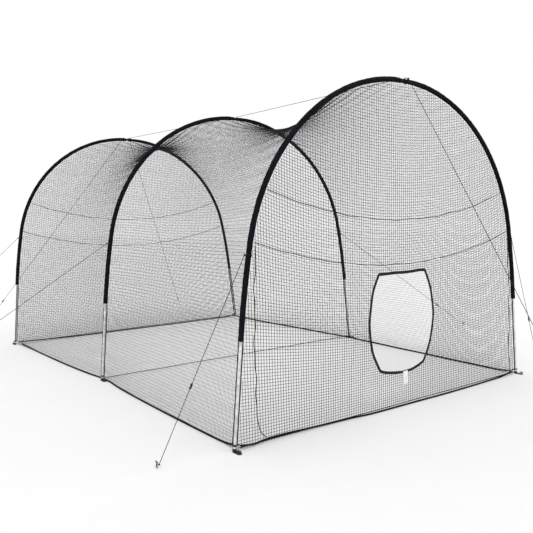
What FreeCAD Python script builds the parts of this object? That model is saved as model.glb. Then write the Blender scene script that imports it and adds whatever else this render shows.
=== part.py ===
import FreeCAD, Part
import math
import os

# A batting cage of three bowed arches with a net tunnel over them, an end net at each end and
# guy ropes to ground pegs. Millimetres. X is across the cage, Y along it with the pitching
# machine's end at -Y, Z up from the ground, and the origin is on the ground at the middle.

os.makedirs("parts", exist_ok=True)
V = FreeCAD.Vector
UP = V(0, 0, 1)
ALONG = V(0, 1, 0)

# The arches
HALF_LENGTH = 2875.0
ARCH_SHIFT = 57.0
ARCHES = {
    "front": (-ARCH_SHIFT, -HALF_LENGTH),
    "middle": (ARCH_SHIFT, 0.0),
    "rear": (-ARCH_SHIFT, HALF_LENGTH),
}
SIDES = {"left": -1, "right": 1}
FOOT_X = 1830.0
SPLAY = math.radians(6.0)
LEG_LENGTH = 860.0
SIDE_RADIUS = 8200.0
SIDE_TURN = math.radians(5.2)

# The poles
LEG_R = 12.5
LEG_WALL = 1.5
LEG_START = 7.0
BOW_R = 10.8
BOW_BORE = 7.5
SPIGOT = 100.0
SLEEVE_R = 23.0
SLEEVE_BORE = 17.0
SLEEVE_START = 850.0
APEX_GAP = 10.0
FERRULE_R = 14.0
FERRULE_HALF = 60.0
CLEARANCE = 0.2

# The feet
SHOE_R = 17.0
SHOE_HEIGHT = 24.0
SHOE_FLOOR = 6.0
TOE_REACH = 72.0
TOE_R = 18.0
TOE_THICKNESS = 8.0
PEG_R = 4.0
PEG_BAR = 44.0
PEG_BAR_R = 5.0
FOOT_PEG_HEIGHT = 30.0
GUY_PEG_HEIGHT = 50.0
PEG_HOLE_R = 4.4

# The nets
NET_INSET = 24.0
NET_THICKNESS = 2.0
NET_LIFT = 21.0
SEAM_GAP = 2.0
END_NET_INSET = 30.0
SAG_SPLAY = math.radians(10.7)

# The machine opening in the front net, about the front arch's middle
OPENING_X = 15.0
OPENING_TOP = 1250.0
OPENING_TOP_HALF = 300.0
OPENING_WIDEST = 800.0
OPENING_WIDE_HALF = 418.0
OPENING_CORNER = 372.0
OPENING_CORNER_HALF = 290.0
OPENING_BOTTOM = 315.0
WEBBING = 26.0
WEBBING_THICKNESS = 2.6
WEBBING_GAP = 0.3
TAG_X = 51.0
TAG_WIDTH = 62.0
TAG_TOP = 322.0
TAG_BOTTOM = 200.0
TAG_THICKNESS = 1.5
TAG_GAP = 0.5

# Ropes that the net and the poles hold
BASE_ROPE_R = 9.0
# Routes along the ground: place along the cage, how far inside the line of the feet, and how
# high the rope is lifted
SIDE_BASE_ROPES = {
    "left": (
        (-2838, 46, 24), (-2770, 44, 10), (-2660, 34, 0), (-2440, 26, 0), (-2100, 18, 0),
        (-1720, 12, 0), (-1290, 8, 0), (-800, 6, 0), (-420, 14, 0), (-200, 31, 0), (0, 32, 0),
        (150, 27, 0), (420, 10, 0), (885, 6, 0), (1250, 12, 0), (1610, 22, 0), (2100, 38, 0),
        (2540, 62, 0), (2832, 76, 0),
    ),
    "right": (
        (-2838, 46, 24), (-2770, 44, 10), (-2660, 34, 0), (-2350, 34, 0), (-1900, 44, 0),
        (-1500, 30, 0), (-1100, 46, 0), (-700, 36, 0), (-300, 42, 0), (0, 33, 0), (300, 38, 0),
        (700, 46, 0), (1100, 32, 0), (1500, 44, 0), (1950, 50, 0), (2300, 36, 0), (2660, 34, 0),
        (2770, 44, 10), (2838, 46, 24),
    ),
}
# The same across the cage: place from the arch's middle, how far inside the arch, and the lift
END_BASE_ROPES = {
    "front": (
        (-1772, 14, 24), (-1705, 14, 10), (-1620, 26, 0), (-1514, 54, 0), (-1427, 62, 0),
        (-1327, 61, 0), (-1184, 50, 0), (-1042, 36, 0), (-890, 26, 0), (-723, 18, 0),
        (-577, 2, 0), (-450, -22, 0), (-252, -27, 0), (13, -27, 0), (290, -29, 0),
        (568, -36, 0), (899, -30, 0), (1262, -18, 0), (1530, -10, 0), (1590, 8, 0),
        (1645, 16, 0), (1708, 15, 10), (1772, 14, 24),
    ),
    "rear": (
        (-1772, 14, 24), (-1560, 15, 20), (-1200, 16, 8), (-650, 10, 0), (-200, -6, 0),
        (250, 4, 0), (700, 12, 0), (1150, -4, 0), (1500, 3, 0), (1590, 10, 0), (1645, 16, 0),
        (1708, 15, 10), (1772, 14, 24),
    ),
}
LEG_ROPE_R = 5.0
LEG_ROPE_INSET = 18.5
LEG_ROPE_START = 57.0
LEG_ROPE_END = 845.0
HEM_ROPE_INSET = -7.0
HEM_ROPE_OUT = 19.0
TIE_R = 3.0
TIE_AT = 50.0
TIE_GAP = 0.5
SIDE_ROPE_R = 4.0
SIDE_ROPE_OUT = 6.0
SIDE_ROPE_ROUTES = {
    "left": ((1592, 1560), (1618, 1000), (1624, 480), (1609, 150), (1540, 52)),
    "right": ((1592, 1560), (1634, 1150), (1668, 758), (1670, 507), (1678, 222), (1712, 55)),
}
JOIN_CORD_R = 3.5
JOIN_CORDS = ((2026.0, 1722.0), (1604.0, 1325.0))
JOIN_CORD_OUT = 13.0
JOIN_CORD_INSET = 26.0
STRAP_R = 5.0
STRAP_HEIGHT = 24.0
STRAP_OUT = 9.0
STRAP_END_GAP = 23.0
RIDGE_R = 2.5
RIDGE_LIFT = 15.0
RIDGE_TUCK = 2.0

# Guy ropes: arch, distance along the arch from its foot or from its apex, side that the rope is
# tied on, side of the pole that its knot is on, and the peg's place on the ground
SHOULDER = 1500.0
APEX_TIE = 50.0
APEX_KNOT_OUT = 2.0
GUYS = {
    "front_apex": ("front", "right", None, "end", (-160.0, -4930.0)),
    "front_left": ("front", "left", SHOULDER, "out", (-2480.0, -2780.0)),
    "front_right": ("front", "right", SHOULDER, "out", (2366.0, -2780.0)),
    "middle_left": ("middle", "left", SHOULDER, "out", (-3905.0, 200.0)),
    "middle_right": ("middle", "right", SHOULDER, "out", (3845.0, -510.0)),
    "rear_left": ("rear", "left", SHOULDER, "out", (-3035.0, 3950.0)),
    "rear_apex_left": ("rear", "left", None, "end", (-2005.0, 4350.0)),
    "rear_apex_right": ("rear", "right", None, "end", (2045.0, 5500.0)),
}
GUY_R = 2.5
KNOT_R = 4.5
KNOT_LENGTH = 10.0
EYE_R = PEG_R + GUY_R + CLEARANCE
EYE_HEIGHT = 22.0
RUNNER_FROM_PEG = 600.0
RUNNER_LENGTH = 46.0
RUNNER_R = 8.0
RUNNER_THICKNESS = 10.0
RUNNER_BORE = 2.9
RUNNER_TAIL_BORE = 1.6
RUNNER_TAIL_X = 5.6


class Profile:
    """Half an arch seen from the front: a straight leg, a slightly bowed side, a round top."""

    def __init__(self, foot_x, splay):
        self.foot_x = foot_x
        self.splay = splay
        self.shoulder = splay + SIDE_TURN
        leg_x = foot_x - LEG_LENGTH * math.sin(splay)
        leg_z = LEG_LENGTH * math.cos(splay)
        self.side_x = leg_x - SIDE_RADIUS * math.cos(splay)
        self.side_z = leg_z - SIDE_RADIUS * math.sin(splay)
        shoulder_x = self.side_x + SIDE_RADIUS * math.cos(self.shoulder)
        shoulder_z = self.side_z + SIDE_RADIUS * math.sin(self.shoulder)
        self.top_radius = shoulder_x / math.cos(self.shoulder)
        self.top_z = shoulder_z - self.top_radius * math.sin(self.shoulder)
        side_end = LEG_LENGTH + SIDE_RADIUS * SIDE_TURN
        self.length = side_end + self.top_radius * (math.pi / 2 - self.shoulder)
        self.stops = (LEG_LENGTH, side_end, self.length)

    def angle(self, s):
        """The pole's lean from upright at a distance s along it from the foot."""
        if s <= self.stops[0]:
            return self.splay
        if s <= self.stops[1]:
            return self.splay + (s - self.stops[0]) / SIDE_RADIUS
        return self.shoulder + (s - self.stops[1]) / self.top_radius

    def point(self, s, inset=0.0):
        """X and Z at a distance s from the foot, moved inset towards the inside."""
        a = self.angle(s)
        if s <= self.stops[0]:
            x = self.foot_x - s * math.sin(a)
            z = s * math.cos(a)
            return x - inset * math.cos(a), z - inset * math.sin(a)
        if s <= self.stops[1]:
            r = SIDE_RADIUS - inset
            return self.side_x + r * math.cos(a), self.side_z + r * math.sin(a)
        r = self.top_radius - inset
        return r * math.cos(a), self.top_z + r * math.sin(a)

    def edges(self, s0, s1, inset, place):
        """The lines and arcs from s0 to s1, moved inset inwards and set down by place."""
        inner = [s for s in self.stops if s0 < s < s1]
        cuts = [s0] + inner + [s1]
        made = []
        for a, b in zip(cuts, cuts[1:]):
            start = place(*self.point(a, inset))
            end = place(*self.point(b, inset))
            if b <= self.stops[0]:
                made.append(Part.LineSegment(start, end).toShape())
            else:
                middle = place(*self.point((a + b) / 2, inset))
                made.append(Part.Arc(start, middle, end).toShape())
        return made


ARCH = Profile(FOOT_X, SPLAY)
SAGGED = Profile(FOOT_X, SAG_SPLAY)


def placer(centre, y, side):
    """Sets a profile's X and Z down in the plane of an arch, on its left or right half."""
    return lambda x, z: V(centre + side * x, y, z)


def save(name, *solids):
    """Writes one node, which holds one solid or several alike."""
    shape = solids[0] if len(solids) == 1 else Part.makeCompound(list(solids))
    good = shape.isValid() and all(s.Volume > 0 for s in shape.Solids)
    shape.exportStep("parts/" + name + ".step")
    print(f"{name:24s} solids {len(shape.Solids)} valid {good} volume {shape.Volume / 1000:.1f} cm3")


def tube(edges, outer, bore=0.0):
    """A round rod or tube along tangent edges."""
    path = Part.Wire(edges)
    first = edges[0]
    start = first.valueAt(first.FirstParameter)
    tangent = first.tangentAt(first.FirstParameter)

    def skin(radius):
        ring = Part.Wire(Part.makeCircle(radius, start, tangent))
        return path.makePipeShell([ring], True, False)

    solid = skin(outer)
    if bore:
        solid = solid.cut(skin(bore))
    return solid.Solids[0]


def rounded(points):
    """Straight runs joined by tangent arcs that use 0.45 of the shorter run on each side."""
    made = []
    at = points[0]
    for before, corner, after in zip(points, points[1:], points[2:]):
        into = (corner - before).normalize()
        out = (after - corner).normalize()
        reach = 0.45 * min((corner - before).Length, (after - corner).Length)
        half_turn = into.getAngle(out) / 2
        radius = reach / math.tan(half_turn)
        bisector = (out - into).normalize()
        sag = radius * (1 / math.cos(half_turn) - 1)
        start = corner - into * reach
        end = corner + out * reach
        made.append(Part.LineSegment(at, start).toShape())
        made.append(Part.Arc(start, corner + bisector * sag, end).toShape())
        at = end
    made.append(Part.LineSegment(at, points[-1]).toShape())
    return made


def make_poles():
    """Steel legs, bowed rods that plug into them, apex ferrules and the black sleeves."""
    ferrules = []
    for arch, (centre, y) in ARCHES.items():
        for side_name, side in SIDES.items():
            place = placer(centre, y, side)
            name = arch + "_" + side_name
            leg = ARCH.edges(LEG_START, LEG_LENGTH, 0, place)
            save(name + "_leg", tube(leg, LEG_R, LEG_R - LEG_WALL))
            bow = ARCH.edges(LEG_LENGTH - SPIGOT, ARCH.length - CLEARANCE, 0, place)
            save(name + "_bow", tube(bow, BOW_R, BOW_BORE))
            sleeve = ARCH.edges(SLEEVE_START, ARCH.length - APEX_GAP, 0, place)
            save(name + "_sleeve", tube(sleeve, SLEEVE_R, SLEEVE_BORE))
        half = FERRULE_HALF / ARCH.top_radius
        ends = []
        for a in (math.pi / 2 - half, math.pi / 2, math.pi / 2 + half):
            x = ARCH.top_radius * math.cos(a)
            ends.append(V(centre + x, y, ARCH.top_z + ARCH.top_radius * math.sin(a)))
        ferrules.append(tube([Part.Arc(*ends).toShape()], FERRULE_R, BOW_R + CLEARANCE))
    save("apex_ferrules", *ferrules)


def peg(x, y, height, bar_axis):
    """The part of a T-headed peg that stands out of the ground."""
    bar_height = height - PEG_BAR_R
    stem = Part.makeCylinder(PEG_R, bar_height, V(x, y, 0), UP)
    bar_start = V(x, y, bar_height) - bar_axis * (PEG_BAR / 2)
    bar = Part.makeCylinder(PEG_BAR_R, PEG_BAR, bar_start, bar_axis)
    return stem.fuse(bar).Solids[0]


def foot_shoe(centre, y, side, toe):
    """A moulded cup for the leaning leg, with a toe plate that a peg goes through."""
    foot = V(centre + side * FOOT_X, y, 0)
    lean = V(-side * math.sin(SPLAY), 0, math.cos(SPLAY))
    cup = Part.makeCylinder(SHOE_R, SHOE_HEIGHT + SHOE_R, foot - lean * SHOE_R, lean)
    plate_corner = V(foot.x - TOE_R, min(y, y + toe * TOE_REACH), 0)
    plate = Part.makeBox(2 * TOE_R, TOE_REACH, TOE_THICKNESS, plate_corner)
    tip = foot + V(0, toe * TOE_REACH, 0)
    nose = Part.makeCylinder(TOE_R, TOE_THICKNESS, tip, UP)
    shoe = cup.fuse([plate, nose])
    reach = 4 * SHOE_R
    below_corner = foot - V(reach, reach, reach)
    below = Part.makeBox(2 * reach, 2 * reach, reach, below_corner)
    socket = Part.makeCylinder(LEG_R + CLEARANCE, SHOE_HEIGHT * 2, foot + lean * SHOE_FLOOR, lean)
    hole = Part.makeCylinder(PEG_HOLE_R, TOE_THICKNESS * 2, tip, UP)
    return shoe.cut([below, socket, hole]).removeSplitter().Solids[0]


def make_feet():
    """Shoes, their pegs, the two net edge ropes beside each bare leg and the tie for them."""
    shoes, pegs, ropes, ties = [], [], [], []
    for arch, (centre, y) in ARCHES.items():
        toe = 1 if arch == "rear" else -1
        for side in SIDES.values():
            place = placer(centre, y, side)
            shoes.append(foot_shoe(centre, y, side, toe))
            pegs.append(peg(centre + side * FOOT_X, y + toe * TOE_REACH, FOOT_PEG_HEIGHT, ALONG))
            edge = ARCH.edges(LEG_ROPE_START, LEG_ROPE_END, LEG_ROPE_INSET, place)
            ropes.append(tube(edge, LEG_ROPE_R))
            beside = placer(centre, y + (-1 if arch == "rear" else 1) * HEM_ROPE_OUT, side)
            edge = ARCH.edges(LEG_ROPE_START, LEG_ROPE_END, HEM_ROPE_INSET, beside)
            ropes.append(tube(edge, LEG_ROPE_R))
            lean = V(-side * math.sin(SPLAY), 0, math.cos(SPLAY))
            tie_r = LEG_R + TIE_GAP + TIE_R
            ties.append(Part.makeTorus(tie_r, TIE_R, place(*ARCH.point(TIE_AT)), lean))
    save("foot_shoes", *shoes)
    save("foot_pegs", *pegs)
    save("leg_edge_ropes", *ropes)
    save("corner_ties", *ties)


def hem(profile, inset):
    """How far up the leg a net ends that stays NET_LIFT clear of the ground."""
    return (NET_LIFT + inset * math.sin(profile.splay)) / math.cos(profile.splay)


def wall_section(profile, centre, y, side):
    """The closed outline of a side net across the cage at one place along it."""
    place = placer(centre, y, side)
    low = hem(profile, NET_INSET + NET_THICKNESS)
    high = profile.stops[1]
    outer = profile.edges(low, high, NET_INSET, place)
    inner = profile.edges(low, high, NET_INSET + NET_THICKNESS, place)
    return closed(outer, inner)


def roof_section(profile, centre, y):
    """The closed outline of a roof net across the cage at one place along it."""
    arcs = []
    for inset in (NET_INSET, NET_INSET + NET_THICKNESS):
        x, z = profile.point(profile.stops[1] + SEAM_GAP, inset)
        top = profile.point(profile.length, inset)[1]
        arcs.append([Part.Arc(V(centre - x, y, z), V(centre, y, top), V(centre + x, y, z)).toShape()])
    return closed(*arcs)


def closed(outer, inner):
    """Joins two chains of edges that run side by side into one closed wire."""
    starts = [chain[0].valueAt(chain[0].FirstParameter) for chain in (outer, inner)]
    ends = [chain[-1].valueAt(chain[-1].LastParameter) for chain in (outer, inner)]
    caps = [Part.LineSegment(*ends).toShape(), Part.LineSegment(*starts).toShape()]
    return Part.Wire(Part.sortEdges(outer + caps[:1] + inner + caps[1:])[0])


def make_bay_nets():
    """Left wall, roof and right wall between two arches, drawn in between them like a saddle."""
    for bay, first, second in (("front", "front", "middle"), ("rear", "middle", "rear")):
        (x0, y0), (x1, y1) = ARCHES[first], ARCHES[second]
        stations = (
            (ARCH, x0, y0 + NET_THICKNESS),
            (SAGGED, (x0 + x1) / 2, (y0 + y1) / 2),
            (ARCH, x1, y1 - NET_THICKNESS),
        )
        for side_name, side in SIDES.items():
            wires = [wall_section(profile, x, y, side) for profile, x, y in stations]
            save(f"{bay}_bay_{side_name}_net", Part.makeLoft(wires, True, False))
        wires = [roof_section(profile, x, y) for profile, x, y in stations]
        save(f"{bay}_bay_roof_net", Part.makeLoft(wires, True, False))


def end_net(y, centre):
    """A flat net that fills an end arch down to the ground rope."""
    low = hem(ARCH, END_NET_INSET)
    left = ARCH.edges(low, ARCH.length, END_NET_INSET, placer(centre, y, -1))
    right = ARCH.edges(low, ARCH.length, END_NET_INSET, placer(centre, y, 1))
    corners = [chain[0].valueAt(chain[0].FirstParameter) for chain in (left, right)]
    outline = left + right + [Part.LineSegment(*corners).toShape()]
    face = Part.Face(Part.Wire(Part.sortEdges(outline)[0]))
    return face.extrude(V(0, NET_THICKNESS, 0))


def opening_wire(y):
    """The outline of the machine opening: level top, bowed sides and a bellied bottom."""
    centre = ARCHES["front"][0] + OPENING_X

    def at(x, z):
        return V(centre + x, y, z)

    top = [at(-OPENING_TOP_HALF, OPENING_TOP), at(OPENING_TOP_HALF, OPENING_TOP)]
    bottom = [at(OPENING_CORNER_HALF, OPENING_CORNER), at(-OPENING_CORNER_HALF, OPENING_CORNER)]
    edges = [
        Part.LineSegment(*top).toShape(),
        Part.Arc(top[1], at(OPENING_WIDE_HALF, OPENING_WIDEST), bottom[0]).toShape(),
        Part.Arc(bottom[0], at(0, OPENING_BOTTOM), bottom[1]).toShape(),
        Part.Arc(bottom[1], at(-OPENING_WIDE_HALF, OPENING_WIDEST), top[0]).toShape(),
    ]
    return Part.Wire(edges)


def make_end_nets():
    """Both end nets, the webbing round the machine opening and the tag sewn under it."""
    centre, y = ARCHES["front"]
    back = y - NET_THICKNESS / 2
    hole = Part.Face(opening_wire(back - 1)).extrude(V(0, NET_THICKNESS + 2, 0))
    save("front_end_net", end_net(back, centre).cut(hole).Solids[0])
    centre_rear, y_rear = ARCHES["rear"]
    save("rear_end_net", end_net(y_rear - NET_THICKNESS / 2, centre_rear))
    face = back - WEBBING_GAP
    wire = opening_wire(face)
    outer = wire.makeOffset2D(WEBBING / 2, 0, False, False, False)
    inner = wire.makeOffset2D(-WEBBING / 2, 2, False, False, False)
    band = Part.Face(outer).cut(Part.Face(inner)).extrude(V(0, -WEBBING_THICKNESS, 0))
    save("opening_webbing", band.Solids[0])
    tag_y = face - WEBBING_THICKNESS - TAG_GAP - TAG_THICKNESS
    corner = V(centre + TAG_X - TAG_WIDTH / 2, tag_y, TAG_BOTTOM)
    save("opening_tag", Part.makeBox(TAG_WIDTH, TAG_THICKNESS, TAG_TOP - TAG_BOTTOM, corner))


def make_base_ropes():
    """The thick ropes along the net's lower edges, lifted to the legs' ties at their ends."""
    for side_name, route in SIDE_BASE_ROPES.items():
        points = []
        for y, inset, lift in route:
            centre = ARCH_SHIFT * (1 - 2 * abs(y) / HALF_LENGTH)
            points.append(V(centre + SIDES[side_name] * (FOOT_X - inset), y, BASE_ROPE_R + lift))
        save(f"{side_name}_base_rope", tube(rounded(points), BASE_ROPE_R))
    ends = []
    for arch, inwards in (("front", 1), ("rear", -1)):
        centre, y = ARCHES[arch]
        points = []
        for x, inset, lift in END_BASE_ROPES[arch]:
            points.append(V(centre + x, y + inwards * inset, BASE_ROPE_R + lift))
        ends.append(tube(rounded(points), BASE_ROPE_R))
    save("end_base_ropes", *ends)


def make_held_cords():
    """Join cords over the end nets, the front net's side ropes, rolled straps, ridge ropes."""
    joins, straps = [], []
    for arch, out in (("front", -1), ("rear", 1)):
        centre, y = ARCHES[arch]
        cord_y = y + out * JOIN_CORD_OUT
        for s, low_z in JOIN_CORDS:
            half, end_z = ARCH.point(s, JOIN_CORD_INSET)
            left, right = (V(centre + side * half, cord_y, end_z) for side in SIDES.values())
            drooping = Part.Arc(left, V(centre, cord_y, low_z), right).toShape()
            joins.append(tube([drooping], JOIN_CORD_R))
    save("join_cords", *joins)

    centre, y = ARCHES["front"]
    sides = []
    for side_name, route in SIDE_ROPE_ROUTES.items():
        side = SIDES[side_name]
        points = [V(centre + side * x, y - SIDE_ROPE_OUT, z) for x, z in route]
        sides.append(tube(rounded(points), SIDE_ROPE_R))
    save("front_side_ropes", *sides)

    for arch, (centre, y) in ARCHES.items():
        strap_y = y + {"front": -1, "middle": 0, "rear": 1}[arch] * STRAP_OUT
        half = FOOT_X - SHOE_R - STRAP_END_GAP
        left, right = (V(centre + side * half, strap_y, STRAP_HEIGHT) for side in SIDES.values())
        straps.append(tube([Part.LineSegment(left, right).toShape()], STRAP_R))
    save("ground_straps", *straps)

    ridges = []
    crest = ARCH.point(ARCH.length)[1] + RIDGE_LIFT
    for first, second in (("front", "middle"), ("middle", "rear")):
        a = V(*ARCHES[first], crest)
        b = V(*ARCHES[second], crest)
        step = (b - a).normalize() * (SLEEVE_R - RIDGE_TUCK)
        ridges.append(tube([Part.LineSegment(a + step, b - step).toShape()], RIDGE_R))
    save("ridge_ropes", *ridges)


def half_loop(on_pole, pole, radius):
    """A cord that goes half round a sleeve, on the side away from the net."""
    circle = Part.Wire(Part.makeCircle(GUY_R, on_pole + ALONG * radius, pole.cross(ALONG)))
    outward = V(on_pole.x, 0, on_pole.z).dot(pole.cross(ALONG)) > 0
    return Part.Face(circle).revolve(on_pole, pole, 180 if outward else -180)


def guy_ends(arch, side_name, s, knot_side, peg_at):
    """The loop round the sleeve, the middles of a guy rope's two knots, and its peg's back."""
    centre, y = ARCHES[arch]
    side = SIDES[side_name]
    s = ARCH.length - APEX_TIE if s is None else s
    lean = ARCH.angle(s)
    x, z = ARCH.point(s)
    on_pole = V(centre + side * x, y, z)
    pole = V(-side * math.sin(lean), 0, math.cos(lean))
    towards = V(side * math.cos(lean), 0, math.sin(lean))
    if knot_side == "end":
        away = -1 if arch == "front" else 1
        towards = (ALONG * away * APEX_KNOT_OUT + towards).normalize()
    loop_r = SLEEVE_R + GUY_R + CLEARANCE
    top = on_pole + towards * (loop_r + KNOT_LENGTH)
    stem = V(*peg_at, EYE_HEIGHT)
    back = V(top.x - stem.x, top.y - stem.y, 0).normalize()
    foot = stem + back * (EYE_R + KNOT_LENGTH)
    return half_loop(on_pole, pole, loop_r), top, foot, back


def runner(centre, direction):
    """A flat plastic line runner, bored end to end for the rope, with a hole for its tail."""
    half = RUNNER_LENGTH / 2
    barrel = Part.makeCylinder(RUNNER_R, RUNNER_LENGTH, V(0, 0, -half), UP)
    slab_corner = V(-2 * RUNNER_R, -RUNNER_THICKNESS / 2, -half)
    slab = Part.makeBox(4 * RUNNER_R, RUNNER_THICKNESS, RUNNER_LENGTH, slab_corner)
    bore = Part.makeCylinder(RUNNER_BORE, 2 * RUNNER_LENGTH, V(0, 0, -RUNNER_LENGTH), UP)
    tail_start = V(RUNNER_TAIL_X, -2 * RUNNER_R, half / 2)
    tail = Part.makeCylinder(RUNNER_TAIL_BORE, 4 * RUNNER_R, tail_start, ALONG)
    body = barrel.common(slab).cut([bore, tail]).Solids[0]
    body.Placement = FreeCAD.Placement(centre, FreeCAD.Rotation(UP, direction))
    return body


def make_guys():
    """Guy ropes with the loops and knots at their ends, their runners and their pegs."""
    hitches, eyes, pegs = [], [], []
    for name, (arch, side_name, s, knot_side, peg_at) in GUYS.items():
        loop, top, foot, back = guy_ends(arch, side_name, s, knot_side, peg_at)
        direction = (top - foot).normalize()
        half_knot = direction * (KNOT_LENGTH / 2)
        hitches.append(loop)
        hitches.append(Part.makeCylinder(KNOT_R, KNOT_LENGTH, top - half_knot, direction))
        eyes.append(Part.makeTorus(EYE_R, GUY_R, V(*peg_at, EYE_HEIGHT), UP))
        eyes.append(Part.makeCylinder(KNOT_R, KNOT_LENGTH, foot - half_knot, direction))
        pegs.append(peg(*peg_at, GUY_PEG_HEIGHT, V(-back.y, back.x, 0)))
        length = (top - foot).Length - KNOT_LENGTH
        save(name + "_guy", Part.makeCylinder(GUY_R, length, foot + half_knot, direction))
        save(name + "_runner", runner(foot + direction * RUNNER_FROM_PEG, direction))
        print("   slide axis", [round(c, 6) for c in direction])
        print("   from", [round(c, 1) for c in top], "to", [round(c, 1) for c in foot])
    save("guy_hitches", *hitches)
    save("guy_eyes", *eyes)
    save("guy_pegs", *pegs)


make_poles()
make_feet()
make_bay_nets()
make_end_nets()
make_base_ropes()
make_held_cords()
make_guys()
print("height", round(ARCH.point(ARCH.length)[1], 1), "top radius", round(ARCH.top_radius, 1))
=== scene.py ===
import math

import bpy
import numpy as np
from mathutils import Matrix, Vector


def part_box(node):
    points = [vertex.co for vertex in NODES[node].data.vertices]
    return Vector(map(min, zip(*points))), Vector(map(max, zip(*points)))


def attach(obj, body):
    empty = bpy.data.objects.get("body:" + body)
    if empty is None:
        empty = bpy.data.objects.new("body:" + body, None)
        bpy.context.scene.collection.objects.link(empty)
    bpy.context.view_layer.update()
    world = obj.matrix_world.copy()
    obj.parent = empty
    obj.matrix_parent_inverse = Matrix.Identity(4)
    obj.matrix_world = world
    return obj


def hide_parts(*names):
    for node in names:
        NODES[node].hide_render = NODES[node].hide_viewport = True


# The looks of a pop-up batting cage: nets of real twine, fabric sleeves, laid ropes, webbing.
# Metres, in the CAD model's frame. X is across the cage, Y along it, Z up.

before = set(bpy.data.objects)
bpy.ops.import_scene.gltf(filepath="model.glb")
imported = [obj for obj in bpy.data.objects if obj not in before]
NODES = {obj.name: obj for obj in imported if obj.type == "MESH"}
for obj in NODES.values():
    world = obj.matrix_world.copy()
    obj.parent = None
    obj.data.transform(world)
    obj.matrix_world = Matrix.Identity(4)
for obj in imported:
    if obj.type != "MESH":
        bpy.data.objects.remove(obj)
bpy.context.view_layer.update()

# The arches, as in the CAD source
HALF_LENGTH = 2.875
ARCH_SHIFT = 0.057
ARCHES = {
    "front": (-ARCH_SHIFT, -HALF_LENGTH),
    "middle": (ARCH_SHIFT, 0.0),
    "rear": (-ARCH_SHIFT, HALF_LENGTH),
}
SIDES = {"left": -1, "right": 1}
FOOT_X = 1.830
SPLAY = math.radians(6.0)
LEG_LENGTH = 0.860
SIDE_RADIUS = 8.200
SIDE_TURN = math.radians(5.2)
SIDE_END = LEG_LENGTH + SIDE_RADIUS * SIDE_TURN
TOP_RADIUS = 1.6605
ARCH_LENGTH = SIDE_END + TOP_RADIUS * (math.pi / 2 - SPLAY - SIDE_TURN)
SAG_SPLAY = math.radians(10.7)
SLEEVE_START, SLEEVE_END = 0.850, ARCH_LENGTH - 0.010
LEG_R = 0.0125
X_AXIS, Y_AXIS, Z_AXIS = np.eye(3)

# Guy ropes: the middle of the knot at the sleeve and of the knot at the peg
GUY_R = 0.0025
GUYS = {
    "front_apex": ((-0.0065, -2.9069, 2.9440), (-0.1587, -4.9133, 0.022)),
    "front_left": ((-1.7406, -2.875, 1.495), (-2.4634, -2.7821, 0.022)),
    "front_right": ((1.6266, -2.875, 1.495), (2.3494, -2.7821, 0.022)),
    "middle_left": ((-1.6266, 0.0, 1.495), (-3.8884, 0.1985, 0.022)),
    "middle_right": ((1.7406, 0.0, 1.495), (3.8288, -0.5061, 0.022)),
    "rear_left": ((-1.7406, 2.875, 1.495), (-3.0222, 3.9393, 0.022)),
    "rear_apex_left": ((-0.1075, 2.9069, 2.9440), (-1.9917, 4.3399, 0.022)),
    "rear_apex_right": ((-0.0065, 2.9069, 2.9440), (2.0346, 5.4869, 0.022)),
}


# Camera, as fitted to the photograph

CAMERA_AT = (-4.490, -7.094, 1.809)
# Yaw, pitch and roll in degrees
CAMERA_TURN = (39.745, -8.200, -0.818)
CAMERA_SENSOR, CAMERA_LENS = 36.0, 45.29
CAMERA_SHIFT = (-0.10725, 0.07722)
CAMERA_REACH = 500.0


def make_camera():
    """The photograph's viewpoint: in front of the cage and to its left, at eye height."""
    yaw, pitch, roll = (math.radians(angle) for angle in CAMERA_TURN)
    forward = Vector((math.sin(yaw), math.cos(yaw), 0)) * math.cos(pitch)
    forward.z = math.sin(pitch)
    level = Vector((math.cos(yaw), -math.sin(yaw), 0))
    upright = level.cross(forward)
    right = level * math.cos(roll) + upright * math.sin(roll)
    up = upright * math.cos(roll) - level * math.sin(roll)
    camera = bpy.data.cameras.new("camera")
    camera.sensor_width = CAMERA_SENSOR
    camera.lens = CAMERA_LENS
    camera.shift_x, camera.shift_y = CAMERA_SHIFT
    camera.clip_end = CAMERA_REACH
    holder = bpy.data.objects.new("camera", camera)
    bpy.context.scene.collection.objects.link(holder)
    turned = Matrix((right, up, -forward)).transposed().to_4x4()
    holder.matrix_world = Matrix.Translation(CAMERA_AT) @ turned
    bpy.context.scene.camera = holder


make_camera()


# Materials

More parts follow.
